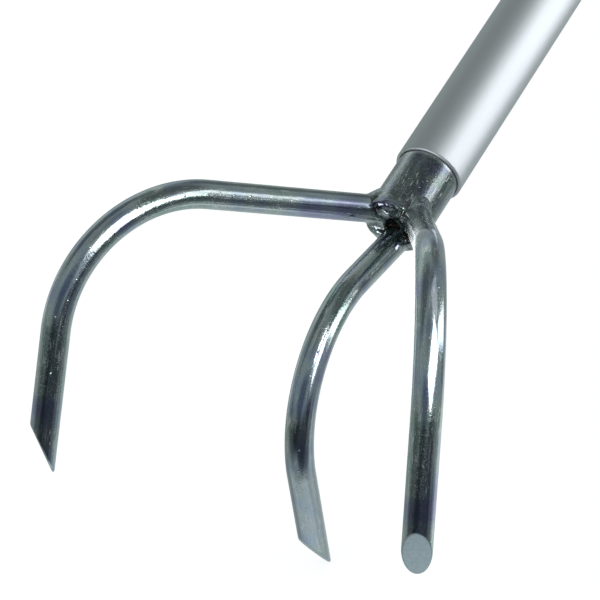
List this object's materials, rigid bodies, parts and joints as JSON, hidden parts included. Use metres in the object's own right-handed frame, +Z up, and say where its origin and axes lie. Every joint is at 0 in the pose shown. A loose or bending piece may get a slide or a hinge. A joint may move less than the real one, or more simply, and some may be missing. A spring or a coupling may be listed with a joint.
{
  "type": "long handled cultivator",
  "caption": "Long handled garden cultivator: bent steel claw tines welded into a spigot tube, in an aluminium tube handle with a soft grip and a hanging eye.",
  "frame": {"origin": "on the floor, under the middle of the tool's overall length, in its plane of symmetry", "axes": "+Y along the handle from the claw to the grip, +Z up with the tines' points down, +X across the claw towards tine_right"},
  "size_m": [0.1522, 1.3239, 0.1355],
  "materials": {
    "zinc_plated_bar": "bright zinc plated steel bar, blue clear passivated",
    "zinc_plated_tube": "bright zinc plated steel tube, mottled near the welds",
    "zinc_plated_weld": "weld metal, zinc plated over",
    "anodised_aluminium": "drawn tube, satin clear anodised",
    "rivet_aluminium": "plain aluminium",
    "mandrel_steel": "plain steel",
    "grip_rubber": "soft matt black elastomer",
    "cap_plastic": "moulded black polypropylene"
  },
  "bodies": {
    "root": {"handle_tube": "anodised_aluminium", "spigot": "zinc_plated_tube", "tine_left": "zinc_plated_bar", "tine_middle": "zinc_plated_bar", "tine_right": "zinc_plated_bar", "weld_left": "zinc_plated_weld", "weld_middle": "zinc_plated_weld", "weld_right": "zinc_plated_weld", "weld_pool": "zinc_plated_weld", "spigot_rivets": "rivet_aluminium", "rivet_mandrels": "mandrel_steel", "grip_sleeve": "grip_rubber", "end_cap": "cap_plastic"}
  },
  "joints": []
}
